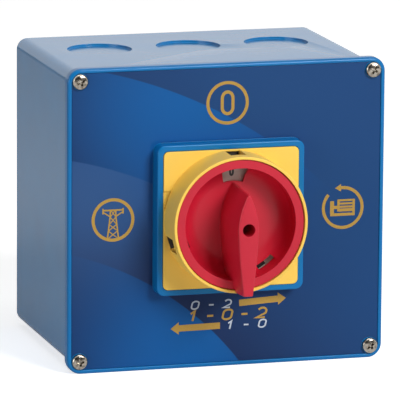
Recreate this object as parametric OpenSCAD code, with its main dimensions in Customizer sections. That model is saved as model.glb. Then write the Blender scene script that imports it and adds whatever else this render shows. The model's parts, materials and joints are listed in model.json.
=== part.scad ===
// Manual changeover switch: a two-part moulded wall box that holds a four-pole cam switch,
// worked by a padlockable rotary handle with three positions, 90 degrees apart.
// The origin is the middle of the flat wall face. X points right, Z up, and the front faces -Y.

/* [Box] */
// Width of the front cover
cover_w = 160; // [158:1:176]
// Height of the front cover
cover_h = 150; // [148:1:166]
// Depth from the wall to the cover's front rim
box_d = 112.5; // [112.5:0.5:120]
// How far the cover stands out past the box on each side
overhang = 2.6; // [2.2:0.1:3.2]
// Corner radius of the cover
cover_r = 7; // [6:0.5:9]
// Corner radius of the box
body_r = 5.5; // [5:0.5:7]
// Wall thickness of the box
wall = 3; // [2.6:0.1:3.4]
// Depth of the cover's skirt, back from the front rim
skirt_d = 5.5; // [5:0.5:8]
// Width of the raised rim round the label
rim_w = 2.1; // [1.6:0.1:3]
// Distance of each cover screw from the cover's edges
screw_inset = 6.2; // [6:0.1:6.6]

/* [Knockouts] */
// Diameter of each cable-entry knockout
knockout_dia = 32; // [25:1:34]
// Distance between neighbouring knockouts
knockout_pitch = 45.5; // [40:0.5:48]
// Distance of the knockouts from the wall
knockout_y = 42; // [30:1:60]
// Depth of the recess over each knockout's disc
knockout_sink = 1.2; // [0.8:0.1:1.2]

/* [Wall fixing] */
// Distance between the fixing holes from side to side
fix_w = 124; // [120:1:126]
// Distance between the fixing holes from top to bottom
fix_h = 114; // [110:1:118]
// Diameter of each fixing hole
fix_dia = 5.2; // [4.2:0.1:5.6]

/* [Handle] */
// Handle axis to the right of the cover's middle
axis_x = 0; // [-2:0.5:2]
// Handle axis above the cover's middle
axis_z = 0; // [-2:0.5:2]
// Side of the square boss that carries the handle
boss_w = 74; // [72:1:78]
// Side of the yellow plate
plate_w = 68; // [67:0.5:70]
// Outer radius of the lock collar at its foot
collar_r = 33.8; // [33.8:0.1:33.9]
// Outer radius of the red handle's rim
knob_r = 31.8; // [31.6:0.1:31.8]
// Half width of the grip at its foot
grip_w = 6.6; // [5.5:0.1:7]
// Travel of the handle each way, in degrees
handle_turn = 90; // [90:90:90]

/* [Contacts] */
// Number of switching decks, one for each pole
decks = 4; // [4:1:4]
// Rise of each cam while the handle turns 90 degrees
cam_lift = 3; // [2:0.1:3]
// Mean radius of each cam
cam_r = 13; // [12.8:0.1:13]

/* [Hidden] */
$fn = 64;

// A small overlap that lets a cut run past a face
cut = 1;
// Clearance round parts that are fitted together and stay put
fit = 0.3;
// Radial clearance of a journal in its bearing
running = 0.05;

// Depths from the wall
rim_front = box_d;
field_front = box_d - 0.8;
label_front = field_front + 0.3;
plate_back = field_front - 2.5;
tub_front = plate_back - 0.9;
skirt_back = box_d - skirt_d;
boss_front = box_d + 6.8;
boss_back = boss_front - 3;
pocket_floor = boss_front - 1.3;
gasket_top = pocket_floor + 0.5;
plate_front = gasket_top + 1.4;
collar_front = box_d + 24.8;
knob_front = box_d + 23.8;
dial_front = plate_front + 1;
dish_back = dial_front + 0.4;
grip_front = box_d + 37.7;

body_w = cover_w - 2 * overhang;
body_h = cover_h - 2 * overhang;
screw_x = cover_w / 2 - screw_inset;
screw_y = cover_h / 2 - screw_inset;

// Corner pillars that take the cover screws
pillar_r = 4.6;
pilot_r = 1.5;
field_r = cover_r - rim_w - 0.5;
screw_hole_r = 2.1;
label_hole_r = 4.3;

// Square boss and what bolts through it
boss_r = 4;
pocket_w = plate_w + 0.4;
post_ring_r = 29.4;
post_angles = [18, 144, 252];
post_r = 3.2;
post_top = plate_front + 3.9;
tube_r = 10.3;
hub_r = 7.5;
hub_back = box_d - 3;
tube_back = box_d - 0.5;
circlip_back = tube_back - 1.2;
circlip_t = 1;
o_ring_y = plate_front - 3;
o_ring_r = 0.85;

// Lock collar
collar_wall = 1.7;
collar_draft = 0.3;
lock_slot_w = 7.8;
lock_slot_h = 12;
lock_slots = [90, 198, 306];

// Dish of the handle
bowl_centre = 18.6;
bowl_in = 9;
bowl_wall = 1.5;
bowl_bend = dish_back + bowl_wall + bowl_in;
knob_skirt = 6;
window_in = 19;
window_out = 27;
window_half = 15;
side_windows = [198, 306];
side_window_in = 25.2;
side_window_out = 27.4;
side_window_half = 10.2;

// Grip of the handle
grip_top_w = 5.1;
grip_tip = 18.8;
grip_top_tip = 17.2;
grip_end = 33.6;
grip_top_end = 32.6;
grip_end_loss = 2.7;
screw_well_r = 3.1;
screw_well_floor = grip_front - 22;

// Square bars
extension_af = 6;
shaft_af = 8;
socket_gap = 0.1;
extension_end = dish_back + 3;

// Cam switch, from its foot to its front plate
standoff_top = 9;
foot_t = 2;
foot_w = 100;
foot_h = 70;
foot_hole_x = 43;
foot_hole_y = 28;
foot_screw_y = 26;
rear_y = standoff_top + foot_t;
rear_t = 7;
deck_y = rear_y + rear_t;
deck_t = 14;
deck_w = 63;
deck_face = 2;
index_y = deck_y + decks * deck_t;
index_t = 12;
front_y = index_y + index_t;
front_t = 3;
switch_r = 3;
shaft_back = rear_y + 3;
coupling_back = front_y + front_t + 2.5;
coupling_t = 16;
coupling_r = 8.5;
shaft_front = coupling_back + 8;
tie_x = 21;
tie_r = 2;

// Contacts of one deck
cam_gap = 0.12;
cam_chamber_r = cam_r + cam_lift + 0.8;
cam_t = 8;
cam_back = 2;
cam_hub_r = 8.8;
strip_w = 6;
strip_back = 3;
strip_t = 1.5;
strip_low = 14.4;
strip_in = 9;
tab_x = 25;
tab_top = 25.5;
terminal_y = 20.5;
terminal_r = 2;
washer_t = 1.2;
bridge_low = 19;
bridge_t = 1.4;
bridge_w = 5;
bridge_half = 15;
plunger_w = 7;
plunger_t = 9;
plunger_back = 1.5;
plunger_top = 22.5;
tip_r = 1.5;
chamber_top = 29.5;
chamber_half = 16.5;
spring_r = 2.6;
wire_r = 0.45;
spring_turns = 4;

// Index unit
index_af = 20;
index_corner = 2.5;
index_chamber_r = 17.5;
lug_r = 15;
lug_half = 12;
stop_r = 10.5;
stop_half = 8;
stop_slack = 0.5;

// Earth bar
earth_y = -56;
earth_l = 44;
earth_s = 8;
earth_pad = 8;
earth_pitch = 9;

// Turns a shape drawn flat, with depth from the wall as its height, to stand in the box
module in_box(d = 0) {
    rotate([90, 0, 0])
        translate([0, 0, d])
            children();
}

// The same, about the handle axis
module on_axis(d = 0) {
    rotate([90, 0, 0])
        translate([axis_x, axis_z, d])
            children();
}

// Rectangle with round corners
module rounded(w, h, r) {
    square([w - 2 * r, h], center = true);
    square([w, h - 2 * r], center = true);
    for (x = [-1, 1], y = [-1, 1])
        translate([x * (w / 2 - r), y * (h / 2 - r)])
            circle(r = r);
}

// Rounded slab whose front edge has a chamfer c
module slab(w, h, r, t, c) {
    linear_extrude(t - c)
        rounded(w, h, r);
    translate([0, 0, t - c]) {
        for (x = [-1, 1], y = [-1, 1])
            translate([x * (w / 2 - r), y * (h / 2 - r), 0])
                cylinder(r1 = r, r2 = r - c, h = c);
        rotate([90, 0, 0])
            linear_extrude(h - 2 * r, center = true)
                polygon([[-w / 2, 0], [w / 2, 0], [w / 2 - c, c], [c - w / 2, c]]);
        rotate([90, 0, 90])
            linear_extrude(w - 2 * r, center = true)
                polygon([[-h / 2, 0], [h / 2, 0], [h / 2 - c, c], [c - h / 2, c]]);
    }
}

// Repeats a shape at the four corners of a rectangle
module corners(x, y) {
    for (sx = [-1, 1], sy = [-1, 1])
        translate([sx * x, sy * y, 0])
            children();
}

// Repeats a shape at the posts that join the collar, the plate and the boss
module posts() {
    for (a = post_angles)
        rotate([0, 0, a])
            translate([post_ring_r, 0, 0])
                children();
}

// Pan-head screw that points into the wall, its head's seat at height 0
module pan_screw(head_r, head_t, shank_r, shank_l) {
    slot_w = head_r * 0.28;
    slot_l = head_r * 1.2;
    slot_d = head_t * 0.6;
    difference() {
        union() {
            cylinder(r = head_r, h = head_t * 0.5);
            translate([0, 0, head_t * 0.5])
                cylinder(r1 = head_r, r2 = head_r * 0.62, h = head_t * 0.5);
            translate([0, 0, -shank_l])
                cylinder(r = shank_r, h = shank_l + head_t * 0.2);
        }
        for (turn = [0, 90])
            rotate([0, 0, turn])
                translate([-slot_l / 2, -slot_w / 2, head_t - slot_d])
                    cube([slot_l, slot_w, slot_d + cut]);
    }
}

// Ring sector between two radii, centred on an angle
module sector(r_in, r_out, middle, half) {
    steps = 4;
    outer = [for (i = [0:steps]) let (a = middle - half + 2 * half * i / steps)
        [r_out * cos(a), r_out * sin(a)]];
    inner = [for (i = [0:steps]) let (a = middle + half - 2 * half * i / steps)
        [r_in * cos(a), r_in * sin(a)]];
    polygon(concat(outer, inner));
}

// Cuts of one knockout: a recess outside, and inside a groove that leaves a thin web round the disc
module knockout() {
    groove_w = 1.2;
    web = 0.8;
    disc_r = knockout_dia / 2;
    translate([0, 0, -knockout_sink])
        cylinder(r = disc_r, h = knockout_sink + cut);
    translate([0, 0, -wall - cut])
        linear_extrude(cut + wall - knockout_sink - web)
            difference() {
                circle(r = disc_r);
                circle(r = disc_r - groove_w);
            }
}

// Moulded box with corner pillars, switch standoffs, fixing wells and knockouts
module enclosure_base() {
    back_chamfer = 1;
    well_r = 6.5;
    well_top = 8;
    well_floor = 4;
    well_bore_r = 4.8;
    standoff_r = 4.6;
    pilot_floor = 4;
    color("royalblue")
    in_box()
    difference() {
        union() {
            difference() {
                translate([0, 0, tub_front])
                    mirror([0, 0, 1])
                        slab(body_w, body_h, body_r, tub_front, back_chamfer);
                translate([0, 0, wall])
                    linear_extrude(tub_front)
                        rounded(body_w - 2 * wall, body_h - 2 * wall, body_r - wall);
            }
            intersection() {
                translate([0, 0, wall / 2])
                    linear_extrude(tub_front - wall / 2)
                        rounded(body_w, body_h, body_r);
                corners(screw_x, screw_y)
                    translate([0, 0, wall / 2])
                        cylinder(r = pillar_r, h = tub_front);
            }
            corners(fix_w / 2, fix_h / 2)
                translate([0, 0, wall / 2])
                    cylinder(r = well_r, h = well_top - wall / 2);
            translate([axis_x, axis_z, wall / 2])
                corners(foot_hole_x, foot_hole_y)
                    cylinder(r = standoff_r, h = standoff_top - wall / 2);
            for (x = [-1, 1])
                translate([x * earth_l * 0.36, earth_y, wall / 2])
                    cylinder(r = earth_s * 0.45, h = earth_pad - wall / 2);
        }
        corners(screw_x, screw_y)
            translate([0, 0, tub_front - 24])
                cylinder(r = pilot_r, h = 24 + cut);
        corners(fix_w / 2, fix_h / 2) {
            translate([0, 0, -cut])
                cylinder(r = fix_dia / 2, h = well_top + 2 * cut);
            translate([0, 0, well_floor])
                cylinder(r = well_bore_r, h = well_top);
        }
        translate([axis_x, axis_z, pilot_floor])
            corners(foot_hole_x, foot_hole_y)
                cylinder(r = 1.6, h = standoff_top);
        for (x = [-1, 1])
            translate([x * earth_l * 0.36, earth_y, pilot_floor])
                cylinder(r = 1.2, h = earth_pad);
        for (x = [-1, 0, 1], side = [0, 1])
            mirror([0, side, 0])
                translate([x * knockout_pitch, body_h / 2, knockout_y])
                    rotate([-90, 0, 0])
                        knockout();
    }
}

// Flat cord seal between the box's front edge and the cover
module cover_gasket() {
    seal_w = 1.4;
    inset = 0.5;
    w = body_w - 2 * inset;
    h = body_h - 2 * inset;
    color("dimgray")
    in_box(tub_front)
    linear_extrude(plate_back - tub_front)
        difference() {
            rounded(w, h, body_r - inset);
            rounded(w - 2 * seal_w, h - 2 * seal_w, 1);
        }
}

// Front cover: skirt, locating rib, sunk field for the label, and the hollow square boss
module front_cover() {
    edge = 0.8;
    rib_w = 1.6;
    rib_d = 4;
    rib_outer_w = body_w - 2 * wall - 2 * fit;
    rib_outer_h = body_h - 2 * wall - 2 * fit;
    color("royalblue")
    in_box()
    difference() {
        union() {
            difference() {
                translate([0, 0, skirt_back])
                    slab(cover_w, cover_h, cover_r, skirt_d, edge);
                translate([0, 0, field_front])
                    linear_extrude(cut + 1)
                        rounded(cover_w - 2 * rim_w, cover_h - 2 * rim_w, field_r);
                translate([0, 0, skirt_back - cut])
                    linear_extrude(plate_back - skirt_back + cut)
                        rounded(body_w + 2 * fit, body_h + 2 * fit, body_r + fit);
            }
            difference() {
                translate([0, 0, plate_back - rib_d])
                    linear_extrude(rib_d + cut)
                        difference() {
                            rounded(rib_outer_w, rib_outer_h, 2.4);
                            rounded(rib_outer_w - 2 * rib_w, rib_outer_h - 2 * rib_w, 1);
                        }
                corners(screw_x, screw_y)
                    translate([0, 0, plate_back - rib_d - cut])
                        cylinder(r = pillar_r + fit, h = rib_d + cut);
            }
            translate([axis_x, axis_z, plate_back + cut])
                slab(boss_w, boss_w, boss_r, boss_front - plate_back - cut, 0.6);
        }
        translate([axis_x, axis_z, plate_back - cut])
            linear_extrude(boss_back - plate_back + cut)
                rounded(boss_w - 6, boss_w - 6, boss_r - 2);
        translate([axis_x, axis_z, pocket_floor])
            linear_extrude(boss_front - pocket_floor + cut)
                rounded(pocket_w, pocket_w, 2.7);
        translate([axis_x, axis_z, boss_back - cut]) {
            cylinder(r = tube_r + fit, h = 3 + 2 * cut);
            posts()
                cylinder(r = 1.9, h = 3 + 2 * cut);
        }
        corners(screw_x, screw_y)
            translate([0, 0, plate_back - cut])
                cylinder(r = screw_hole_r, h = box_d - plate_back + 2 * cut);
    }
}

// Self-tapping screws that hold the cover to the pillars
module cover_screws() {
    color("silver")
    in_box(field_front)
    corners(screw_x, screw_y)
        pan_screw(3.85, 2.6, 1.45, 16);
}

// Printed film in the cover's sunk field
module front_label() {
    inset = rim_w + 0.15;
    color("midnightblue")
    in_box(field_front)
    linear_extrude(label_front - field_front)
        difference() {
            rounded(cover_w - 2 * inset, cover_h - 2 * inset, cover_r - inset);
            translate([axis_x, axis_z])
                square(boss_w + 2, center = true);
            corners(screw_x, screw_y)
                circle(r = label_hole_r);
        }
}

// Sheet seal under the yellow plate
module escutcheon_gasket() {
    color("black")
    on_axis(pocket_floor)
    linear_extrude(gasket_top - pocket_floor)
        difference() {
            rounded(plate_w - 1, plate_w - 1, 2);
            circle(r = tube_r + fit);
            posts()
                circle(r = 1.9);
        }
}

// Yellow square plate: bearing tube for the handle's hub, and a window below each padlock slot
module escutcheon_plate() {
    notch_w = 6;
    notch_h = 8.9;
    notch_low = 6;
    notch_d = 0.9;
    gate_in = 30.4;
    gate_out = 33.1;
    color("gold")
    on_axis()
    difference() {
        union() {
            translate([0, 0, gasket_top])
                slab(plate_w, plate_w, 2.5, plate_front - gasket_top, 0.3);
            translate([0, 0, tube_back])
                cylinder(r = tube_r, h = gasket_top - tube_back + 0.5);
        }
        translate([0, 0, tube_back - cut])
            cylinder(r = hub_r + running, h = plate_front - tube_back + 2 * cut);
        posts()
            translate([0, 0, gasket_top - cut])
                cylinder(r = 1.7, h = 4);
        for (turn = [0, 180])
            rotate([0, 0, turn])
                translate([-plate_w / 2 - cut, notch_low, plate_front - notch_d])
                    cube([notch_w + cut, notch_h, notch_d + cut]);
        for (a = lock_slots)
            rotate([0, 0, a])
                translate([gate_in, -lock_slot_w / 2, gasket_top - cut])
                    cube([gate_out - gate_in, lock_slot_w, 4]);
    }
}

// Yellow ring round the handle: three padlock slots, and a post for each screw from behind
module lock_collar() {
    color("gold")
    on_axis()
    difference() {
        union() {
            translate([0, 0, plate_front])
                difference() {
                    cylinder(r1 = collar_r, r2 = collar_r - collar_draft, h = collar_front - plate_front);
                    translate([0, 0, -cut])
                        cylinder(r = collar_r - collar_wall, h = collar_front);
                }
            posts()
                translate([0, 0, plate_front])
                    cylinder(r = post_r, h = post_top - plate_front);
        }
        for (a = lock_slots)
            rotate([0, 0, a])
                translate([collar_r - 3, -lock_slot_w / 2, plate_front - cut])
                    cube([6, lock_slot_w, lock_slot_h + cut]);
        posts()
            translate([0, 0, plate_front - cut])
                cylinder(r = 1.3, h = post_top - plate_front);
    }
}

// Screws from inside the boss into the collar's posts
module escutcheon_screws() {
    color("silver")
    on_axis(boss_back)
    posts()
        mirror([0, 0, 1])
            pan_screw(3, 2, 1.25, post_top - boss_back - 1.2);
}

// Fixed grey dial that shows through the handle's window
module dial_plate() {
    dial_r = 30;
    color("darkgray")
    on_axis(plate_front)
    linear_extrude(dial_front - plate_front)
        difference() {
            circle(r = dial_r);
            circle(r = hub_r + 0.6);
            posts()
                circle(r = post_r + fit);
        }
}

// Half width of the leaf-shaped grip at height y, for a given width, tip and end
function leaf(y, w, tip, end) =
    y > 0 ? w * (1 - pow(y / tip, 1.8)) : w - grip_end_loss * pow(-y / end, 1.5);

// Leaf outline, from its round-sided tip down to its blunt end
module leaf_outline(w, tip, end) {
    steps = 9;
    up = [for (i = [0:steps]) tip * (1 - pow(1 - i / steps, 2))];
    down = [for (i = [1:steps]) -end * i / steps];
    right_up = [for (y = up) [leaf(y, w, tip, end), y]];
    left_up = [for (i = [steps - 1:-1:0]) [-leaf(up[i], w, tip, end), up[i]]];
    left_down = [for (y = down) [-leaf(y, w, tip, end), y]];
    right_down = [for (i = [steps - 1:-1:0]) [leaf(down[i], w, tip, end), down[i]]];
    polygon(concat(right_up, left_up, left_down, right_down));
}

// Filled section of the handle's dish, from the axis out to a bend of radius r
module dish_section(r) {
    floor_d = bowl_bend - r;
    translate([0, floor_d])
        square([bowl_centre, knob_front - floor_d]);
    intersection() {
        translate([bowl_centre, bowl_bend])
            circle(r = r);
        translate([bowl_centre, floor_d])
            square([r, r]);
    }
    translate([bowl_centre, bowl_bend])
        square([r, knob_front - bowl_bend]);
}

// Dish of the handle with its flat rim and the short skirt behind the rim
module dish() {
    rim_in = bowl_centre + bowl_in;
    rim_t = 3;
    skirt_t = 2;
    rotate_extrude()
        difference() {
            union() {
                dish_section(bowl_in + bowl_wall);
                translate([rim_in, knob_front - rim_t])
                    square([knob_r - rim_in, rim_t]);
                translate([knob_r - skirt_t, knob_front - knob_skirt])
                    square([skirt_t, knob_skirt]);
            }
            dish_section(bowl_in);
        }
}

// Tapered leaf-shaped grip, standing in the dish and passing over its rim below
module grip() {
    layer = 0.1;
    over_rim = collar_front + 0.7 - knob_front;
    intersection() {
        hull() {
            translate([0, 0, dish_back + bowl_wall / 2])
                linear_extrude(layer)
                    leaf_outline(grip_w, grip_tip, grip_end);
            translate([0, 0, grip_front - layer])
                linear_extrude(layer)
                    leaf_outline(grip_top_w, grip_top_tip, grip_top_end);
        }
        union() {
            rotate_extrude()
                dish_section(bowl_in + bowl_wall / 2);
            translate([0, 0, knob_front - 1])
                cylinder(r = knob_r - 0.2, h = 1 + over_rim);
            translate([0, 0, knob_front + over_rim])
                cylinder(r = grip_end + 3, h = grip_front);
        }
    }
}

// Hub behind the dish, with grooves for the rubber ring and the clip
module hub() {
    difference() {
        translate([0, 0, hub_back])
            cylinder(r = hub_r, h = dish_back - hub_back + bowl_wall / 2);
        translate([0, 0, o_ring_y])
            rotate_extrude()
                translate([hub_r - 2 * o_ring_r, -o_ring_r])
                    square([3, 2 * o_ring_r]);
        translate([0, 0, circlip_back])
            rotate_extrude()
                translate([hub_r - 0.6, 0])
                    square([3, circlip_t]);
    }
}

// Red handle: dish with rim, tall grip, hub, windows, and the well for its screw
module handle_knob() {
    color("crimson")
    on_axis()
    difference() {
        union() {
            dish();
            hub();
            grip();
        }
        translate([0, 0, hub_back - cut])
            linear_extrude(extension_end + fit - hub_back + cut)
                square(extension_af + 2 * socket_gap, center = true);
        cylinder(r = 1.7, h = grip_front);
        translate([0, 0, screw_well_floor])
            cylinder(r = screw_well_r, h = grip_front);
        translate([0, 0, dish_back - cut])
            linear_extrude(bowl_in + bowl_wall) {
                sector(window_in, window_out, 90, window_half);
                for (a = side_windows)
                    sector(side_window_in, side_window_out, a, side_window_half);
            }
    }
}

// Screw down the grip's well into the end of the shaft extension
module handle_screw() {
    color("silver")
    on_axis(screw_well_floor)
    pan_screw(2.6, 2, 1.5, screw_well_floor - extension_end + 8);
}

// Rubber ring in the hub's groove
module hub_o_ring() {
    color("black")
    on_axis(o_ring_y)
    rotate_extrude()
        translate([hub_r - o_ring_r, 0])
            circle(r = o_ring_r, $fn = 24);
}

// Spring clip that keeps the hub in its bearing tube
module hub_circlip() {
    color("silver")
    on_axis(circlip_back)
    linear_extrude(circlip_t)
        difference() {
            circle(r = hub_r + 1.7);
            circle(r = hub_r - 0.55);
            translate([-1.5, 0])
                square([3, hub_r * 2]);
        }
}

// Square bar from the coupling to the handle, tapped for the handle screw
module shaft_extension() {
    color("silver")
    on_axis()
    difference() {
        translate([0, 0, shaft_front + 0.6])
            linear_extrude(extension_end - shaft_front - 0.6)
                square(extension_af, center = true);
        translate([0, 0, extension_end - 9])
            cylinder(r = 1.55, h = 10);
    }
}

// Sleeve that joins the switch's shaft to the extension
module shaft_coupling() {
    small_side = extension_af + 2 * socket_gap;
    large_side = shaft_af + 2 * socket_gap;
    color("dimgray")
    on_axis(coupling_back)
    difference() {
        cylinder(r = coupling_r, h = coupling_t);
        translate([0, 0, -cut])
            linear_extrude(coupling_t + 2 * cut)
                square(small_side, center = true);
        translate([0, 0, -cut])
            linear_extrude(shaft_front - coupling_back + fit + cut)
                square(large_side, center = true);
        for (d = [4, 12])
            translate([0, 0, d])
                rotate([-90, 0, 0])
                    cylinder(r = 1.55, h = coupling_r + cut);
    }
}

// Set screws of the coupling
module coupling_screws() {
    color("dimgray")
    on_axis(coupling_back)
    for (d = [4, 12])
        translate([0, 0, d])
            rotate([-90, 0, 0])
                translate([0, 0, (d < 8 ? shaft_af : extension_af) / 2 + 0.05])
                    difference() {
                        cylinder(r = 1.5, h = 4);
                        translate([0, 0, 2.6])
                            cylinder(r = 0.9, h = 2, $fn = 6);
                    }
}

// Square bar through the switch
module switch_shaft() {
    color("silver")
    on_axis(shaft_back)
    linear_extrude(shaft_front - shaft_back)
        square(shaft_af, center = true);
}

// Steel foot that carries the switch on the box's standoffs
module mounting_plate() {
    color("lightgray")
    on_axis(standoff_top)
    linear_extrude(foot_t)
        difference() {
            rounded(foot_w, foot_h, 4);
            corners(foot_hole_x, foot_hole_y)
                circle(r = 2.2);
            for (y = [-1, 1])
                translate([0, y * foot_screw_y])
                    circle(r = 2.2);
            for (x = [-1, 1])
                translate([x * tie_x, 0])
                    circle(r = 4.4);
        }
}

// Screws that hold the foot to the standoffs
module mounting_screws() {
    color("silver")
    on_axis(standoff_top + foot_t)
    corners(foot_hole_x, foot_hole_y)
        pan_screw(3.5, 2.4, 1.55, 6.5);
}

// Screws from behind the foot into the switch's rear plate
module foot_screws() {
    color("silver")
    on_axis(standoff_top)
    for (y = [-1, 1])
        translate([0, y * foot_screw_y, 0])
            mirror([0, 0, 1])
                pan_screw(3.5, 2.4, 1.55, 7);
}

// Rear end plate of the switch, with the rear bearing and pockets for the nuts
module rear_plate() {
    color("dimgray")
    on_axis(rear_y)
    difference() {
        linear_extrude(rear_t)
            rounded(deck_w, deck_w, switch_r);
        translate([0, 0, 2])
            cylinder(r = hub_r + 0.5 + running, h = rear_t);
        for (y = [-1, 1])
            translate([0, y * foot_screw_y, -cut])
                cylinder(r = 1.6, h = 6 + cut);
        for (x = [-1, 1])
            translate([x * tie_x, 0, -cut]) {
                cylinder(r = tie_r + 0.2, h = rear_t + 2 * cut);
                cylinder(r = 4.2, h = 3.6 + cut, $fn = 6);
            }
    }
}

// Round bush on the square shaft, turning in the rear plate
module rear_bush() {
    color("ivory")
    on_axis(shaft_back)
    linear_extrude(rear_t - 3.2)
        difference() {
            circle(r = hub_r + 0.5);
            square(shaft_af + 2 * socket_gap, center = true);
        }
}

// Chambers of one contact, above the axis: bridge, strips, terminals and screw tips
module contact_chambers() {
    channel_low = strip_low - 0.15;
    pocket_top = tab_top + 1.5;
    translate([-chamber_half, channel_low, -cut])
        cube([2 * chamber_half, chamber_top - channel_low, deck_t - deck_face + cut]);
    translate([-plunger_w / 2 - 0.4, 0, -cut])
        cube([plunger_w + 0.8, chamber_top, deck_t - deck_face + cut]);
    for (side = [0, 1])
        mirror([side, 0, 0]) {
            translate([0, channel_low, -cut])
                cube([deck_w / 2 + cut, strip_t + 0.3, strip_back + strip_w + 0.2 + cut]);
            translate([tab_x - 0.1, channel_low, -cut])
                cube([deck_w, pocket_top - channel_low, deck_t - deck_face + cut]);
            translate([tab_x - 5.5, terminal_y, strip_back + strip_w / 2])
                rotate([0, 90, 0])
                    cylinder(r = terminal_r + 0.3, h = 6);
        }
}

// Moulded deck that holds one pole's cam, two bridges and four fixed contacts
module contact_deck(i) {
    groove_x = tab_x + strip_t - 0.2;
    color(i % 2 == 0 ? "gainsboro" : "lightgray")
    on_axis(deck_y + i * deck_t)
    difference() {
        linear_extrude(deck_t)
            rounded(deck_w, deck_w, switch_r);
        translate([0, 0, -cut])
            cylinder(r = cam_chamber_r, h = deck_t - deck_face + cut);
        cylinder(r = cam_hub_r + 0.3, h = deck_t + cut);
        for (side = [0, 1])
            mirror([0, side, 0])
                contact_chambers();
        translate([groove_x, -strip_low - 1, -cut])
            cube([deck_w, 2 * strip_low + 2, deck_t - deck_face + cut]);
        for (x = [-1, 1])
            translate([x * tie_x, 0, -cut])
                cylinder(r = tie_r + 0.2, h = deck_t + 2 * cut);
    }
}

// Radius of the heart-shaped cam: it rises evenly from its notch, on the right, to its crest
function heart(a) = cam_r + cam_lift * (1 - abs(a - 180) / 90);

// Cam that drives the two plungers of one deck at a constant rate
module cam_disc(i) {
    step = 6;
    hub_t = 0.4;
    color("orangered")
    on_axis(deck_y + i * deck_t)
    difference() {
        union() {
            translate([0, 0, cam_back])
                linear_extrude(cam_t)
                    polygon([for (a = [0:step:359]) [heart(a) * cos(a), heart(a) * sin(a)]]);
            translate([0, 0, hub_t])
                cylinder(r = cam_hub_r, h = deck_t - hub_t);
        }
        translate([0, 0, -cut])
            linear_extrude(deck_t + 2 * cut)
                square(shaft_af + 2 * socket_gap, center = true);
    }
}

// Two fixed contacts of the upper bridge, each a strip bent up into a terminal tab
module contact_pair() {
    for (side = [0, 1])
        mirror([side, 0, 0])
            difference() {
                union() {
                    translate([strip_in, strip_low, 0])
                        cube([tab_x + strip_t - strip_in, strip_t, strip_w]);
                    translate([tab_x, strip_low, 0])
                        cube([strip_t, tab_top - strip_low, strip_w]);
                }
                translate([tab_x - cut, terminal_y, strip_w / 2])
                    rotate([0, 90, 0])
                        cylinder(r = terminal_r, h = strip_t + 2 * cut);
            }
}

// The four fixed contacts of one deck
module fixed_contacts(i) {
    color("darkgoldenrod")
    on_axis(deck_y + i * deck_t + strip_back)
    for (side = [0, 1])
        mirror([0, side, 0])
            contact_pair();
}

// Repeats a shape in every deck, above the axis or mirrored below it
module in_decks(below) {
    for (i = [0:decks - 1])
        on_axis(deck_y + i * deck_t)
            mirror([0, below, 0])
                children();
}

// Insulating plunger that rides on the cam and carries the bridge in its window
module plunger() {
    foot = cam_r + cam_gap;
    color("ivory")
    translate([0, 0, plunger_back])
        difference() {
            linear_extrude(plunger_t) {
                translate([0, foot + tip_r])
                    circle(r = tip_r, $fn = 32);
                translate([-tip_r, foot + tip_r])
                    square([2 * tip_r, 2]);
                translate([-plunger_w / 2, foot + tip_r + 0.5])
                    square([plunger_w, plunger_top - foot - tip_r - 0.5]);
            }
            translate([-plunger_w, bridge_low - 0.05, (plunger_t - bridge_w) / 2 - 0.1])
                cube([2 * plunger_w, bridge_t + 0.1, bridge_w + 0.2]);
        }
}

// Copper bridge that joins two fixed contacts when the plunger drops into the cam's notch
module bridge() {
    color("peru")
    translate([-bridge_half, bridge_low, plunger_back + (plunger_t - bridge_w) / 2])
        cube([2 * bridge_half, bridge_t, bridge_w]);
}

// Point on the spring's wire axis at turn t, the spring standing along Y
function coil_point(t) = [spring_r * cos(360 * t),
    plunger_top + wire_r + (chamber_top - plunger_top - 2 * wire_r) * t / spring_turns,
    plunger_back + plunger_t / 2 + spring_r * sin(360 * t)];

// Compression spring between a plunger and the deck's outer wall, one wire swept along a helix
module coil_spring() {
    sides = 6;
    rings = spring_turns * 10;
    points = [for (i = [0:rings], s = [0:sides - 1])
        let (t = spring_turns * i / rings,
            out = [cos(360 * t), 0, sin(360 * t)],
            a = 360 * s / sides)
        coil_point(t) + wire_r * (cos(a) * out + sin(a) * [0, 1, 0])];
    sides_of = [for (i = [0:rings - 1], s = [0:sides - 1])
        let (n = (s + 1) % sides)
        [i * sides + s, i * sides + n, (i + 1) * sides + n, (i + 1) * sides + s]];
    first = [for (s = [sides - 1:-1:0]) s];
    last = [for (s = [0:sides - 1]) rings * sides + s];
    color("silver")
    polyhedron(points, concat(sides_of, [first], [last]));
}

module upper_plungers() { in_decks(0) plunger(); }
module upper_bridges() { in_decks(0) bridge(); }
module upper_springs() { in_decks(0) coil_spring(); }
module lower_plungers() { in_decks(1) plunger(); }
module lower_bridges() { in_decks(1) bridge(); }
module lower_springs() { in_decks(1) coil_spring(); }

// Places a shape at each terminal of one side, pointing outwards along the terminal screw
module at_terminals(left) {
    for (below = [0, 1])
        in_decks(below)
            mirror([left, 0, 0])
                translate([tab_x + strip_t, terminal_y, strip_back + strip_w / 2])
                    rotate([0, 90, 0])
                        children();
}

// Screws of the sixteen terminals
module terminal_screws() {
    color("silver")
    for (left = [0, 1])
        at_terminals(left)
            translate([0, 0, washer_t])
                pan_screw(3.4, 2.2, terminal_r - 0.05, 5.5);
}

// Clamp washers of the supply terminals, on the left
module terminal_clamps() {
    side = 8;
    color("silver")
    at_terminals(1)
        linear_extrude(washer_t)
            difference() {
                square(side, center = true);
                circle(r = terminal_r + 0.1);
            }
}

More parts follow.
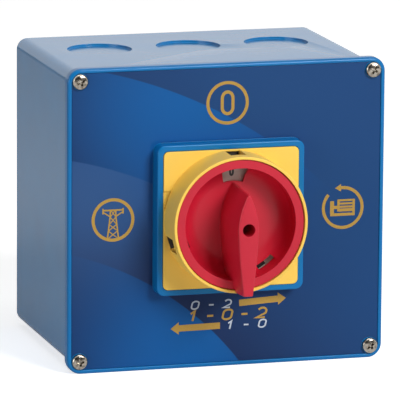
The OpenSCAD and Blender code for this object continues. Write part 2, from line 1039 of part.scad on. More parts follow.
// Bars that join the two load terminals of each deck, on the right
module link_bars() {
    bar_w = 7;
    color("peru")
    for (i = [0:decks - 1])
        on_axis(deck_y + i * deck_t + strip_back + strip_w / 2)
            translate([tab_x + strip_t, 0, 0])
                rotate([0, 90, 0])
                    linear_extrude(washer_t)
                        difference() {
                            rounded(bar_w, 2 * terminal_y + bar_w, 2);
                            for (y = [-1, 1])
                                translate([0, y * terminal_y])
                                    circle(r = terminal_r + 0.1);
                        }
}

// Housing of the index unit, with its two end stops
module index_housing() {
    face = 2;
    slot_half = 23;
    slot_low = index_af / 2 - 0.3;
    slot_h = 4.2;
    stop_middle = lug_half + stop_half + stop_slack;
    color("dimgray")
    on_axis(index_y)
    difference() {
        union() {
            difference() {
                linear_extrude(index_t)
                    rounded(deck_w, deck_w, switch_r);
                translate([0, 0, -cut])
                    cylinder(r = index_chamber_r, h = index_t - face + cut);
            }
            for (a = [-stop_middle, 180 + stop_middle])
                translate([0, 0, 6.2])
                    linear_extrude(index_t - 6.2)
                        sector(stop_r, index_chamber_r + 0.5, a, stop_half);
        }
        cylinder(r = hub_r + 0.8, h = index_t + cut);
        for (side = [0, 1])
            mirror([0, side, 0])
                translate([-slot_half, slot_low, -cut])
                    cube([2 * slot_half, slot_h, 6 + cut]);
        for (x = [-1, 1])
            translate([x * tie_x, 0, -cut])
                cylinder(r = tie_r + 0.2, h = index_t + 2 * cut);
    }
}

// Four-sided index wheel with a stop lug, and the hub that turns in the front plate
module index_wheel() {
    color("ivory")
    on_axis(index_y)
    difference() {
        union() {
            translate([0, 0, 0.6])
                linear_extrude(5.2)
                    rounded(index_af, index_af, index_corner);
            translate([0, 0, 5.8])
                cylinder(r = hub_r + 0.5, h = index_t + front_t - 5.8);
            translate([0, 0, 6.4])
                linear_extrude(3.2)
                    sector(hub_r - 0.5, lug_r, 90, lug_half);
        }
        translate([0, 0, -cut])
            linear_extrude(index_t + front_t + 2 * cut)
                square(shaft_af + 2 * socket_gap, center = true);
    }
}

// Leaf springs that press on the wheel's flats and hold each position
module index_springs() {
    leaf_t = 0.6;
    leaf_half = 22.5;
    color("silver")
    on_axis(index_y + 1)
    for (side = [0, 1])
        mirror([0, side, 0])
            translate([-leaf_half, index_af / 2 + 0.05, 0])
                cube([2 * leaf_half, leaf_t, 4.4]);
}

// Front end plate of the switch, with the front bearing
module switch_front_plate() {
    color("lightgray")
    on_axis(front_y)
    difference() {
        slab(deck_w, deck_w, switch_r, front_t, 0.6);
        translate([0, 0, -cut])
            cylinder(r = hub_r + 0.5 + running, h = front_t + 2 * cut);
        for (x = [-1, 1])
            translate([x * tie_x, 0, -cut])
                cylinder(r = tie_r + 0.2, h = front_t + 2 * cut);
    }
}

// Long bolts that clamp the decks between the end plates
module tie_bolts() {
    color("silver")
    on_axis(front_y + front_t)
    for (x = [-1, 1])
        translate([x * tie_x, 0, 0])
            pan_screw(3.6, 2.4, tie_r - 0.05, front_y + front_t - rear_y - 0.6);
}

// Nuts of the tie bolts, in the rear plate's pockets
module tie_nuts() {
    color("silver")
    on_axis(rear_y + 0.5)
    for (x = [-1, 1])
        translate([x * tie_x, 0, 0])
            difference() {
                cylinder(r = 4, h = 3, $fn = 6);
                translate([0, 0, -cut])
                    cylinder(r = tie_r, h = 3 + 2 * cut);
            }
}

// Brass bar for the protective conductors, with a cross hole under each screw
module earth_bar() {
    color("goldenrod")
    in_box(earth_pad)
    translate([0, earth_y, 0])
        difference() {
            translate([-earth_l / 2, -earth_s / 2, 0])
                cube([earth_l, earth_s, earth_s]);
            for (i = [-1:1])
                translate([i * earth_pitch, 0, 0]) {
                    translate([0, 0, earth_s / 2])
                        rotate([90, 0, 0])
                            cylinder(r = 2.3, h = earth_s * 2, center = true);
                    translate([0, 0, earth_s / 2])
                        cylinder(r = 1.75, h = earth_s);
                }
            for (x = [-1, 1])
                translate([x * earth_l * 0.36, 0, -cut])
                    cylinder(r = 1.6, h = earth_s + 2 * cut);
        }
}

// Clamping screws of the earth bar, and the two that hold it down
module earth_bar_screws() {
    color("silver")
    in_box(earth_pad + earth_s)
    translate([0, earth_y, 0]) {
        for (i = [-1:1])
            translate([i * earth_pitch, 0, 0.6])
                pan_screw(2.6, 1.8, 1.7, 2.8);
        for (x = [-1, 1])
            translate([x * earth_l * 0.36, 0, 0])
                pan_screw(2.6, 1.8, 1.15, earth_s + 3.5);
    }
}

enclosure_base();
cover_gasket();
front_cover();
cover_screws();
front_label();
escutcheon_gasket();
escutcheon_plate();
lock_collar();
escutcheon_screws();
dial_plate();
handle_knob();
handle_screw();
hub_o_ring();
hub_circlip();
shaft_extension();
shaft_coupling();
coupling_screws();
switch_shaft();
mounting_plate();
mounting_screws();
foot_screws();
rear_plate();
rear_bush();
contact_deck(0);  // contact_deck_1
contact_deck(1);  // contact_deck_2
contact_deck(2);  // contact_deck_3
contact_deck(3);  // contact_deck_4
cam_disc(0);  // cam_disc_1
cam_disc(1);  // cam_disc_2
cam_disc(2);  // cam_disc_3
cam_disc(3);  // cam_disc_4
fixed_contacts(0);  // fixed_contacts_1
fixed_contacts(1);  // fixed_contacts_2
fixed_contacts(2);  // fixed_contacts_3
fixed_contacts(3);  // fixed_contacts_4
upper_plungers();
upper_bridges();
upper_springs();
lower_plungers();
lower_bridges();
lower_springs();
terminal_screws();
terminal_clamps();
link_bars();
index_housing();
index_wheel();
index_springs();
switch_front_plate();
tie_bolts();
tie_nuts();
earth_bar();
earth_bar_screws();
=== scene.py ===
import itertools
import json
import math

import bmesh
import bpy
import numpy as np
from mathutils import Matrix, Vector


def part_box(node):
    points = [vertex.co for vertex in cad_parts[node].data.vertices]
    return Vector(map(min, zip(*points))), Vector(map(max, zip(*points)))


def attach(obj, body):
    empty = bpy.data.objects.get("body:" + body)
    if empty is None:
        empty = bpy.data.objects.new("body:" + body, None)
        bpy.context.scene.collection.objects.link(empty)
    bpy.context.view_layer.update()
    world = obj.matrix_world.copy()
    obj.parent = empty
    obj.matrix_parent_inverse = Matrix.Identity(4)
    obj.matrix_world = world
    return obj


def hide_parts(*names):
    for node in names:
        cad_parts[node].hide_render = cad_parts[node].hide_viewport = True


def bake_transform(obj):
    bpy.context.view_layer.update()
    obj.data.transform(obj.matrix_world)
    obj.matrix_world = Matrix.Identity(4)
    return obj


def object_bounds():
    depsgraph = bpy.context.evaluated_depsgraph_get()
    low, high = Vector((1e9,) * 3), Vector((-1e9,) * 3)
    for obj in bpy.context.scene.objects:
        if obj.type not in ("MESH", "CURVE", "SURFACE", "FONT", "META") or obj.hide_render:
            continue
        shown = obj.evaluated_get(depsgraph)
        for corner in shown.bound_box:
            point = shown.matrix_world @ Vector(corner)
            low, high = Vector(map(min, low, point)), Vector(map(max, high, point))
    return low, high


bl_info = {
    "name": "Manual changeover switch",
    "version": (1, 0, 0),
    "blender": (4, 5, 0),
    "location": "3D View > Sidebar > Switch",
    "description": "Surfaces and finishes of a wall-mounted changeover switch, built round its CAD frame",
    "category": "Object",
}

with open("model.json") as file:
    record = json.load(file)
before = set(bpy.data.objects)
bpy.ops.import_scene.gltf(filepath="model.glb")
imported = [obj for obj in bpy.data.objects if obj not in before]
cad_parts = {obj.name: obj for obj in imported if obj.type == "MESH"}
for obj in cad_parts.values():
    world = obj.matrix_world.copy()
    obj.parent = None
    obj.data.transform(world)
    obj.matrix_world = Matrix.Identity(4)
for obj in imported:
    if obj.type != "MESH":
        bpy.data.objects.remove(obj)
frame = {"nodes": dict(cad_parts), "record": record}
CAD_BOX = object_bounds()
MM = 0.001

BODY_OF = {n: b for b, ns in frame["record"]["behaviour"]["bodies"].items() for n in ns}
SLOT_OF = {p["node"]: p["material_slot"] for p in frame["record"]["subparts"]}

# Places that several pieces share: how far the cover's screws stand from the middle, in millimetres, and how
# far from the handle's axis and at which angles round it the lock collar has its posts and padlock slots
SCREW_X, SCREW_Z = 73.8, 68.8
POST_REACH, POST_ANGLES = 29.4, (18, 144, 252)
SLOT_ANGLES = (90, 198, 306)


# Measures taken from the frame, in metres
def width(node):
    """How far the node reaches from side to side."""
    low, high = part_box(node)
    return high.x - low.x


def height(node):
    """How far the node reaches from bottom to top."""
    low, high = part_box(node)
    return high.z - low.z


def front(node):
    """How far the node's front stands out from the wall."""
    return -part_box(node)[0].y


def back(node):
    """How far the node's back stands out from the wall."""
    return -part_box(node)[1].y


# Colours
def linear(code):
    """An sRGB colour as six hex digits, turned to linear values with full opacity."""
    s = np.array([int(code[i:i + 2], 16) for i in (0, 2, 4)]) / 255
    return (*np.where(s <= 0.04045, s / 12.92, ((s + 0.055) / 1.055) ** 2.4), 1.0)


# Shapes
def at(x, z, depth):
    """Points from millimetres to the right, upwards and out from the wall, in metres."""
    return np.stack(np.broadcast_arrays(x, -np.asarray(depth, float), z), -1) * MM


def turned(points, degrees):
    """Points turned about the handle's axis, anticlockwise for someone in front of the switch."""
    c, s = math.cos(math.radians(degrees)), math.sin(math.radians(degrees))
    x, y, z = np.moveaxis(points, -1, 0)
    return np.stack([x * c - z * s, y, x * s + z * c], -1)


def round_axis(points, angles):
    """Points repeated about the handle's axis at each of these angles, in degrees."""
    return [turned(points, angle) for angle in angles]


def rounded_path(corners, radii, closed=False, steps=5, guard=0.05):
    """A path whose corners give way to arcs. Each row of corners starts with a half width and ends with a
    depth, and the arc is measured in those two. Between its ends the arc is the quadratic curve through the
    corner, weighted by the cosine of half the turn, which is a true circle's arc. A guard point stands just
    outside each end, so that the flats beside an arc are shaded flat."""
    rows = np.array(corners, float)
    ends = () if closed else (0, len(rows) - 1)
    out = []
    for i, radius in enumerate(radii):
        before, corner, after = rows[i - 1], rows[i], rows[(i + 1) % len(rows)]
        if not radius or i in ends:
            out.append(corner[None])
            continue
        u, v = (before - corner)[[0, -1]], (after - corner)[[0, -1]]
        long_u, long_v = np.hypot(*u), np.hypot(*v)
        half = 0.5 * math.acos(np.clip(-(u @ v) / (long_u * long_v), -1, 1))
        reach = radius * math.tan(half)
        start = corner + (before - corner) * reach / long_u
        end = corner + (after - corner) * reach / long_v
        t = np.linspace(0, 1, steps + 1)[:, None]
        weight = 2 * t * (1 - t) * math.cos(half)
        arc = ((1 - t) ** 2 * start + weight * corner + t * t * end) / ((1 - t) ** 2 + weight + t * t)
        first = corner + (before - corner) * min(0.9, (reach + guard) / long_u)
        last = corner + (after - corner) * min(0.9, (reach + guard) / long_v)
        out += [first[None], arc, last[None]]
    return np.concatenate(out)


def outline(rows, turns=12, x=0.0, z=0.0):
    """Rounded rectangles about (x, z), one for each row of half width, half height, corner radius and
    depth: at each corner the point is the corner's centre plus its radius times (cosine, sine). A circle is
    the row whose three sizes are equal."""
    half_w, half_h, radius, depth = (c[:, None] for c in np.asarray(rows, float).T)
    angle = np.radians(np.concatenate([q * 90 + np.linspace(0, 90, turns + 1) for q in range(4)]))
    side = np.repeat([[1, -1, -1, 1], [1, 1, -1, -1]], turns + 1, axis=1)
    return at(x + side[0] * (half_w - radius) + radius * np.cos(angle),
              z + side[1] * (half_h - radius) + radius * np.sin(angle), depth)


def revolved(profile, turns=24, x=0.0, z=0.0):
    """A profile of radius and depth, carried round the axis through (x, z)."""
    r, depth = np.asarray(profile, float).T
    return outline(np.stack([r, r, r, depth], 1), turns, x, z)


def rod(r, low, high, x=0.0, z=0.0, turns=8):
    """A plain round bar between two depths, for cutting with."""
    return revolved([(0, low), (r, low), (r, high), (0, high)], turns, x, z)


def block(x, z, half_w, half_h, low, high):
    """A plain rectangular bar about (x, z) between two depths, for cutting with."""
    return outline([(0, 0, 0, low), (half_w, half_h, 0, low), (half_w, half_h, 0, high), (0, 0, 0, high)],
                   1, x, z)


def sector(inner, outer, middle, half, low, high):
    """A part of a ring between two radii and two depths, half as many degrees to each side of its middle,
    for cutting with."""
    swing = np.linspace(middle - half, middle + half, 13)
    ring = np.concatenate([arc(0, 0, outer, outer, swing[0], swing[-1], 13),
                           arc(0, 0, inner, inner, swing[-1], swing[0], 13)])
    rings = ring[None].repeat(4, 0)
    rings[0] = rings[-1] = ring.mean(0)
    return at(rings[..., 0], rings[..., 1], np.array([[low], [low], [high], [high]]))


def quads(rows, columns, wrap_rows, wrap_columns):
    """The four-cornered faces of a grid of points, closed on itself either way where it wraps."""
    i, j = np.meshgrid(np.arange(rows - (not wrap_rows)), np.arange(columns - (not wrap_columns)),
                       indexing="ij")
    k, m = (i + 1) % rows, (j + 1) % columns
    return np.stack([i * columns + j, k * columns + j, k * columns + m, i * columns + m], -1).reshape(-1, 4)


def shells(*grids, ring=False):
    """One mesh of closed shells. Each grid is rings of points one after another; ring joins the last one
    to the first, and otherwise the end rings have shrunk to a point."""
    verts, faces, start = [], [], 0
    for grid in grids:
        rows, columns = grid.shape[:2]
        verts.append(grid.reshape(-1, 3))
        faces.append(quads(rows, columns, ring, True) + start)
        start += rows * columns
    mesh = bpy.data.meshes.new("shells")
    mesh.from_pydata(np.concatenate(verts), [], np.concatenate(faces))
    return cleaned(mesh)


def cleaned(mesh, flat=None):
    """Merges doubles, and turns every face outwards. flat, in degrees, also joins the faces of a flat area
    into one."""
    work = bmesh.new()
    work.from_mesh(mesh)
    bmesh.ops.remove_doubles(work, verts=work.verts, dist=2e-6)
    bmesh.ops.dissolve_degenerate(work, edges=work.edges, dist=1e-6)
    if flat:
        bmesh.ops.dissolve_limit(work, verts=work.verts, edges=work.edges, angle_limit=math.radians(flat))
    bmesh.ops.recalc_face_normals(work, faces=work.faces)
    work.to_mesh(mesh)
    work.free()
    return mesh


def carved(mesh, tool, operation="DIFFERENCE"):
    """Cuts, joins or crosses one mesh of closed shells with another."""
    pair = [bpy.data.objects.new("carving", m) for m in (mesh, tool)]
    for o in pair:
        bpy.context.scene.collection.objects.link(o)
    boolean = pair[0].modifiers.new("carve", "BOOLEAN")
    boolean.operation, boolean.solver, boolean.object = operation, "EXACT", pair[1]
    boolean.use_self = True
    graph = bpy.context.evaluated_depsgraph_get()
    made = bpy.data.meshes.new_from_object(pair[0].evaluated_get(graph))
    for o in pair:
        bpy.data.objects.remove(o)
    if not made.polygons:
        raise RuntimeError("the cut left nothing of the shape")
    return made


def joined(*meshes):
    """Several meshes as one, each shell left as it is."""
    work = bmesh.new()
    for mesh in meshes:
        work.from_mesh(mesh)
    made = bpy.data.meshes.new("joined")
    work.to_mesh(made)
    work.free()
    return made


def copies(mesh, places):
    """A mesh repeated at each (x, z, turn), with x and z in millimetres and the turn in degrees."""
    made = []
    for x, z, turn in places:
        one = mesh.copy()
        one.transform(Matrix.Translation((x * MM, 0, z * MM)) @ Matrix.Rotation(math.radians(-turn), 4, "Y"))
        made.append(one)
    return joined(*made)


def show(name, mesh, node, material, stands_for=True, sharp=32, rides=True):
    """Makes a mesh a piece of the switch with the given material: it rides with its CAD node's body unless
    rides is off, and stands for the node unless it lies on it."""
    mesh.name = name
    mesh.materials.clear()
    mesh.materials.append(material)
    mesh.shade_smooth()
    mesh.set_sharp_from_angle(angle=math.radians(sharp))
    piece = bpy.data.objects.new(name, mesh)
    bpy.context.scene.collection.objects.link(piece)
    if rides:
        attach(piece, BODY_OF[node])
    if stands_for:
        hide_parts(node)
    return piece


# Finishes
def feed(tree, node, sockets):
    """Gives a node's inputs their values, or links them from the sockets that are given."""
    for key, value in sockets.items():
        if isinstance(value, bpy.types.NodeSocket):
            tree.links.new(value, node.inputs[key])
        else:
            node.inputs[key].default_value = value


def add(tree, kind, sockets=None, **settings):
    """Adds one node with its settings, and feeds its inputs."""
    made = tree.nodes.new(kind)
    for key, value in settings.items():
        setattr(made, key, value)
    feed(tree, made, sockets or {})
    return made


def fresh(name):
    """A new material, with its node tree and its surface shader."""
    made = bpy.data.materials.new(name)
    made.use_nodes = True
    return made, made.node_tree, made.node_tree.nodes["Principled BSDF"]


def start(name):
    """A material of that name, with its node tree, its surface shader and the object's coordinates. The last
    three are empty where the material is there already."""
    made = bpy.data.materials.get(name)
    if made:
        return made, None, None, None
    made, tree, shader = fresh(name)
    return made, tree, shader, add(tree, "ShaderNodeTexCoord").outputs["Object"]


def noise(tree, place, size, detail):
    """Cloudy values about one half, in patches of that many millimetres."""
    return add(tree, "ShaderNodeTexNoise", {"Vector": place, "Scale": 1 / (size * MM),
                                            "Detail": detail}).outputs["Fac"]


def spread(tree, value, low, high, first=0.0, last=1.0, **settings):
    """A value between first and last, carried in proportion to between low and high and held at the ends."""
    return add(tree, "ShaderNodeMapRange", {"Value": value, "From Min": first, "From Max": last,
                                            "To Min": low, "To Max": high}, **settings).outputs["Result"]


def mixed(tree, share, one, other):
    """Two colours, with that share of the other one."""
    return add(tree, "ShaderNodeMix", {0: share, 6: one, 7: other}, data_type="RGBA").outputs[2]


def raised(tree, value, deep):
    """The normals of a surface that a texture's value raises by up to that many millimetres."""
    return add(tree, "ShaderNodeBump", {"Height": value, "Distance": deep * MM}).outputs["Normal"]


def moulded(name, colour, roughness, grain, relief, ior=1.5, variation=0.06, specular=0.5, subsurface=0.0):
    """Injection-moulded plastic. The tool's surface leaves a fine grain, grain millimetres across and
    relief millimetres deep, and the flow of the melt leaves slow changes of tone and gloss."""
    made, tree, shader, place = start(name)
    if not tree:
        return made
    flow = noise(tree, place, 38, 3.0)
    tone = spread(tree, flow, 1 - variation, 1 + variation, 0.3, 0.7)
    tint = add(tree, "ShaderNodeHueSaturation", {"Value": tone, "Color": colour})
    feed(tree, shader, {"Base Color": tint.outputs["Color"],
                        "Roughness": spread(tree, flow, roughness * 0.85, roughness * 1.15, 0.3, 0.7),
                        "Normal": raised(tree, noise(tree, place, grain, 2.0), relief),
                        "IOR": ior, "Specular IOR Level": specular})
    if subsurface:
        feed(tree, shader, {"Subsurface Weight": subsurface, "Subsurface Radius": (1.0, 0.6, 0.3),
                            "Subsurface Scale": 1.5 * MM})
    return made


def metal(name, colour, roughness, marks, relief, stretch=(1, 1, 1), dull=None, patch=7.0):
    """Bare or plated metal. Marks of that many millimetres, stretched along the direction that the metal
    was worked in, vary its gloss and its level, and dull is the colour of its tarnish, which lies in
    patches of that many millimetres."""
    made, tree, shader, place = start(name)
    if not tree:
        return made
    drawn = add(tree, "ShaderNodeMapping", {"Vector": place, "Scale": stretch}).outputs["Vector"]
    streaks = noise(tree, drawn, marks, 4.0)
    tarnish = spread(tree, noise(tree, place, patch, 2.0), 0.0, 0.75, 0.45, 0.7)
    feed(tree, shader, {"Base Color": mixed(tree, tarnish, colour, dull or colour), "Metallic": 1.0,
                        "Roughness": spread(tree, streaks, roughness * 0.7, roughness * 1.4, 0.3, 0.7),
                        "Normal": raised(tree, streaks, relief)})
    return made


def rubber(name, colour):
    """Nitrile rubber cut from calendered sheet: nearly black and matt, with a faint bloom of talc."""
    made, tree, shader, place = start(name)
    if not tree:
        return made
    bloom = noise(tree, place, 4, 5.0)
    grain = noise(tree, place, 0.3, 2.0)
    feed(tree, shader, {"Base Color": mixed(tree, bloom, colour, linear("3a3938")),
                        "Normal": raised(tree, grain, 0.02), "Roughness": 0.75})
    return made


def film(name, deep, mid, bright, grey):
    """Polyester film printed on its back. Its blue runs from deep at the lower left to middle at the upper
    right, and the ink's blues lie over that in three wide soft sweeps, each the inside of a circle about one
    centre, sharp at the circle and fading with the distance from a bright spot. The lowest sweep's circle
    passes below the raised square and leaves a deep band under most of it, which is partly print and partly
    painted shade. The clear face gives a hard even gloss with the faint waves of a film that is stuck down."""
    made, tree, shader, place = start(name)
    if not tree:
        return made
    face = front("front_label") / MM

    def distance(x, z):
        """How far a point is from (x, z) on the film's face."""
        return add(tree, "ShaderNodeVectorMath", {0: place, 1: at(x, z, face)},
                   operation="DISTANCE").outputs["Value"]

    slope = add(tree, "ShaderNodeVectorMath", {0: place, 1: (6.0, 0.0, 4.2)}, operation="DOT_PRODUCT")
    ground = spread(tree, slope.outputs["Value"], 0.0, 1.0, -0.62, 0.36, interpolation_type="SMOOTHSTEP")
    colour = mixed(tree, ground, deep, mid)
    away = distance(-120, -170)
    # The lowest sweep passes below the raised square and leaves a deep band under it, partly print and partly
    # painted shade
    # Each sweep's radius, its bright spot and how far that reaches, its strength there, and its colour
    for radius, spot, reach, strength, tint in ((250, (-20, 55), 92, 1.0, bright),
                                                (205, (-72, 12), 78, 0.75, grey),
                                                (160, (-18, -72), 98, 1.0, bright)):
        edge = spread(tree, away, 1.0, 0.0, (radius - 0.5) * MM, radius * MM)
        tail = spread(tree, distance(*spot), strength, 0.0, 0.0, reach * MM, interpolation_type="SMOOTHSTEP")
        share = add(tree, "ShaderNodeMath", {0: edge, 1: tail}, operation="MULTIPLY").outputs["Value"]
        colour = mixed(tree, share, colour, tint)
    feed(tree, shader, {"Base Color": colour, "Normal": raised(tree, noise(tree, place, 30, 1.0), 0.25),
                        "Roughness": 0.12, "Specular IOR Level": 0.1})
    return made


def ink(name, colour, roughness):
    """Screen-printed ink: a flat colour with the faint mottle of its mesh."""
    made, tree, shader, place = start(name)
    if not tree:
        return made
    tone = spread(tree, noise(tree, place, 0.8, 2.0), 0.85, 1.15)
    tint = add(tree, "ShaderNodeHueSaturation", {"Value": tone, "Color": colour})
    feed(tree, shader, {"Base Color": tint.outputs["Color"], "Roughness": roughness})
    return made


# What a user would change
def size_setting(name, description, default, precision=5):
    """A size in metres that the panel offers."""
    return bpy.props.FloatProperty(name=name, description=description, default=default, unit="LENGTH",
                                   precision=precision)


def colour_setting(name, description, code):
    """A colour that the panel offers."""
    return bpy.props.FloatVectorProperty(name=name, description=description, default=linear(code),
                                         subtype="COLOR", size=4)


class SwitchSizes(bpy.types.PropertyGroup):
    cover_width: size_setting("Cover width", "Width of the front cover", width("front_cover"), 4)
    cover_height: size_setting("Cover height", "Height of the front cover", height("front_cover"), 4)
    box_edge: size_setting("Box edge", "Radius that the box's edges are rounded to", 0.5 * MM)
    cover_edge: size_setting("Cover edge", "Radius of the cover's front edge", 1.4 * MM)
    boss_edge: size_setting("Boss edge", "Radius of the front edge of the raised square", 0.7 * MM)
    stroke: size_setting("Print stroke", "Width of the printed rings", 1.55 * MM)
    print_thickness: size_setting("Print thickness", "Thickness of the printed marks", 0.04 * MM)
    knob_edge: size_setting("Handle edge", "Radius of the handle rim's edges", 0.25 * MM)
    grip_edge: size_setting("Grip edge", "Radius of the grip's front edge", 0.8 * MM)


class SwitchColours(bpy.types.PropertyGroup):
    shell: colour_setting("Box", "Blue of the wall box", "137bb7")
    cover: colour_setting("Cover", "Blue of the front cover", "0b70b0")
    plate: colour_setting("Plate", "Yellow of the plate and the lock collar", "f8cd5c")
    handle: colour_setting("Handle", "Red of the handle", "c51932")
    gold: colour_setting("Gold print", "Gold of the printed marks", "b08a36")
    film_deep: colour_setting("Film, deep", "Darkest blue of the printed film", "1c2548")
    film_mid: colour_setting("Film, middle", "Middle blue of the printed film", "204678")
    film_bright: colour_setting("Film, bright", "Brightest blue of the printed film", "14599c")
    film_grey: colour_setting("Film, grey", "Grey blue of the printed film", "36598b")


def blue_plastic():
    """Moulded polycarbonate blend: an even blue with a good gloss and a barely seen tool grain."""
    return moulded("Blue moulded polycarbonate", bpy.context.scene.switch_colours.shell, 0.18, 0.5, 0.006,
                   ior=1.6)


def blue_cover_plastic():
    """The same plastic from the cover's tool, whose face is etched: deeper in colour, with a softer gloss."""
    return moulded("Blue moulded polycarbonate, etched", bpy.context.scene.switch_colours.cover, 0.22, 0.4,
                   0.008, specular=0.22)


def yellow_plastic():
    """Moulded nylon: a warm opaque yellow that light softens, satin."""
    return moulded("Yellow moulded nylon", bpy.context.scene.switch_colours.plate, 0.38, 0.4, 0.01,
                   specular=0.3, subsurface=0.08)


def red_plastic():
    """Moulded nylon: a deep red with a satin face that turns pink where it mirrors the light."""
    return moulded("Red moulded nylon", bpy.context.scene.switch_colours.handle, 0.36, 0.4, 0.012,
                   specular=0.45, subsurface=0.05)


def bright_steel():
    """Steel with a nickel plating that has dulled: warm grey, a near mirror, mottled brown in small spots."""
    return metal("Nickel-plated steel", linear("b9b1a4"), 0.17, 0.7, 0.05, dull=linear("4a4036"), patch=1.6)


def finish_for(slot):
    """The material of a record's slot, for the CAD nodes that are shown as they are."""
    made = {
        "blue_shell": blue_plastic,
        "yellow_moulding": yellow_plastic,
        "red_moulding": red_plastic,
        "bright_screws": bright_steel,
        "black_rubber": lambda: rubber("Nitrile rubber", linear("232323")),
        # Drawn spring wire: blue grey, with fine lines along it
        "spring_steel": lambda: metal("Drawn spring steel", linear("9a9c9f"), 0.22, 0.4, 0.004),
        # Zinc plating, passivated: pale and slightly blue, with a crystalline unevenness
        "zinc_steel": lambda: metal("Zinc-plated steel", linear("b6bcc2"), 0.3, 1.2, 0.006,
                                    dull=linear("9fa59c")),
        # Glass-filled polyester of the decks: matt light grey with a coarse grain
        "grey_moulding": lambda: moulded("Glass-filled polyester", linear("b5b3ad"), 0.55, 0.7, 0.02),
        # Phenolic moulding: nearly black, between matt and satin
        "dark_moulding": lambda: moulded("Phenolic moulding", linear("2e2c2b"), 0.45, 0.6, 0.015),
        # Natural acetal of the plungers: milky and slightly waxy
        "white_moulding": lambda: moulded("Natural acetal", linear("e4dfd0"), 0.4, 0.8, 0.008,
                                          subsurface=0.15),
        # Dyed nylon of the cams
        "orange_moulding": lambda: moulded("Orange moulded nylon", linear("d9662a"), 0.42, 0.6, 0.01),
        # Rolled copper of the moving contacts, with a brown tarnish in patches
        "copper": lambda: metal("Rolled copper", linear("c77e5b"), 0.28, 0.6, 0.006, (1, 4, 4),
                                linear("8d5138")),
        # Rolled brass of the fixed contacts
        "brass": lambda: metal("Rolled brass", linear("cda85a"), 0.26, 0.6, 0.006, (1, 4, 4),
                               linear("a08238")),
        "grey_dial": lambda: moulded("Grey moulded polystyrene", linear("b8aea2"), 0.5, 0.5, 0.012),
        "printed_film": blue_plastic,
    }
    return made[slot]()


class SWITCH_OT_box(bpy.types.Operator):
    """The wall box, with its edges rounded"""
    bl_idname = "switch.box"
    bl_label = "Box"

    def execute(self, context):
        mesh = cleaned(frame["nodes"]["enclosure_base"].data.copy(), flat=0.5)
        piece = show("box_shell", mesh, "enclosure_base", blue_plastic())
        edge = piece.modifiers.new("Rounded edges", "BEVEL")
        edge.width = context.scene.switch_sizes.box_edge
        edge.segments = 3
        edge.limit_method = "ANGLE"
        edge.angle_limit = math.radians(38)
        edge.harden_normals = True
        return {"FINISHED"}


class SWITCH_OT_cover(bpy.types.Operator):
    """The front cover, one closed surface from its skirt over the sunk field and the square boss"""
    bl_idname = "switch.cover"
    bl_label = "Cover"

    def execute(self, context):
        sizes = context.scene.switch_sizes
        w, h = sizes.cover_width / MM / 2, sizes.cover_height / MM / 2
        skirt, rim = back("front_cover") / MM + 1.8, 112.5
        field, plate = rim - 0.8, rim - 3.3
        top = front("front_cover") / MM
        rows = rounded_path(
            [(w, h, 7, skirt), (w, h, 7, rim), (w - 2.1, h - 2.1, 4.9, rim),
             (w - 2.1, h - 2.1, 4.4, field), (37, 37, 4, field), (37, 37, 4, top),
             (34.2, 34.2, 2.7, top), (34.2, 34.2, 2.7, top - 1.3), (10.6, 10.6, 10.6, top - 1.3),
             (10.6, 10.6, 10.6, top - 3), (34, 34, 2, top - 3), (34, 34, 2, plate),
             (w - 7.5, h - 7.5, 1, plate), (w - 7.5, h - 7.5, 1, plate - 4),
             (w - 5.9, h - 5.9, 2.4, plate - 4), (w - 5.9, h - 5.9, 2.4, plate),
             (w - 2.3, h - 2.3, 5.8, plate), (w - 2.3, h - 2.3, 5.8, skirt)],
            [0.4, sizes.cover_edge / MM, 0.35, 0.15, 0.3, sizes.boss_edge / MM, 0.2, 0.15] + [0] * 10,
            closed=True)
        mesh = shells(outline(rows), ring=True)
        spots = [(x, z) for x in (-SCREW_X, SCREW_X) for z in (-SCREW_Z, SCREW_Z)]
        holes = [rod(2.1, plate - 0.5, rim + 1, x, z) for x, z in spots]
        holes += [rod(4.9, plate - 5, plate - 0.02, x, z, 12) for x, z in spots]
        holes += round_axis(rod(1.9, top - 4, top, POST_REACH), POST_ANGLES)
        show("cover_shell", carved(mesh, shells(*holes)), "front_cover", blue_cover_plastic())
        return {"FINISHED"}


class SWITCH_OT_film(bpy.types.Operator):
    """The printed film in the cover's sunk field"""
    bl_idname = "switch.film"
    bl_label = "Film"

    def execute(self, context):
        colours = context.scene.switch_colours
        low, high = back("front_label") / MM, front("front_label") / MM
        w, h = width("front_label") / MM / 2, height("front_label") / MM / 2
        rows = rounded_path([(w, h, 4.75, low), (w, h, 4.75, high), (37.35, 37.35, 4.35, high),
                             (37.35, 37.35, 4.35, low)], [0, 0.12, 0.15, 0], closed=True, steps=3, guard=0.02)
        holes = [rod(4.3, low - 1, high + 1, x, z, 12)
                 for x in (-SCREW_X, SCREW_X) for z in (-SCREW_Z, SCREW_Z)]
        mesh = carved(shells(outline(rows), ring=True), shells(*holes))
        show("label_film", mesh, "front_label",
             film("Reverse-printed polyester film", colours.film_deep, colours.film_mid,
                  colours.film_bright, colours.film_grey))
        return {"FINISHED"}


